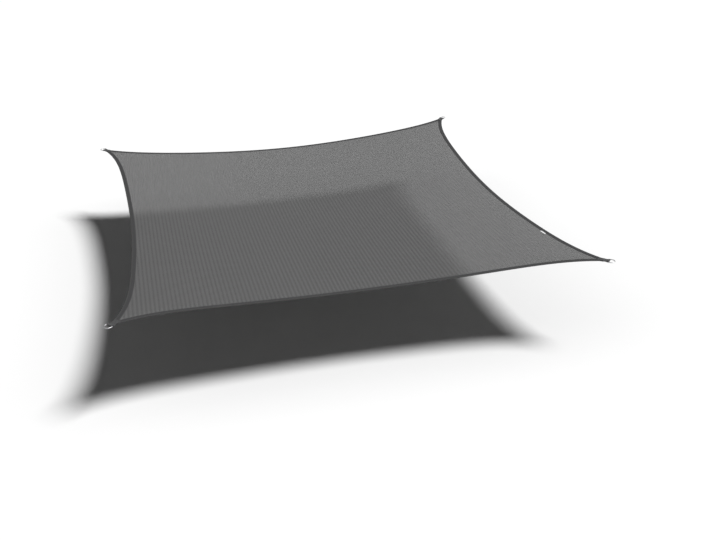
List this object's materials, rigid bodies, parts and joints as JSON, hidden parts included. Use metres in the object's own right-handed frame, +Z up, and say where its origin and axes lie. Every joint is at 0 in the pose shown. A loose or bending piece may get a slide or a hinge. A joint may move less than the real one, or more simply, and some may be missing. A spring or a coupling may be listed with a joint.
{
  "type": "shade sail",
  "caption": "Square shade sail of knitted cloth with hollow-cut hemmed edges, stretched level by a steel D-ring on a webbing loop at each corner.",
  "frame": {"origin": "middle of the level square whose corners are the four places where the rings are pulled", "axes": "+Z up, square to that square; +X to the sail's right, the side with the label; +Y to its back, along the ribs of the cloth"},
  "size_m": [3.6252, 3.6252, 0.1246],
  "materials": {
    "shade_cloth": "graphite grey knitted polyethylene shade cloth, matt, slightly see-through, with fine ribs along its length",
    "label": "white woven label, blank",
    "webbing": "dark grey woven polyester webbing, sewn with a box stitch",
    "ring_steel": "bright stainless steel wire"
  },
  "bodies": {
    "root": {"sail_cloth": "shade_cloth", "care_label": "label", "corner_webbing_back_right": "webbing", "corner_webbing_back_left": "webbing", "corner_webbing_front_left": "webbing", "corner_webbing_front_right": "webbing", "d_ring_back_right": "ring_steel", "d_ring_back_left": "ring_steel", "d_ring_front_left": "ring_steel", "d_ring_front_right": "ring_steel"}
  },
  "joints": []
}
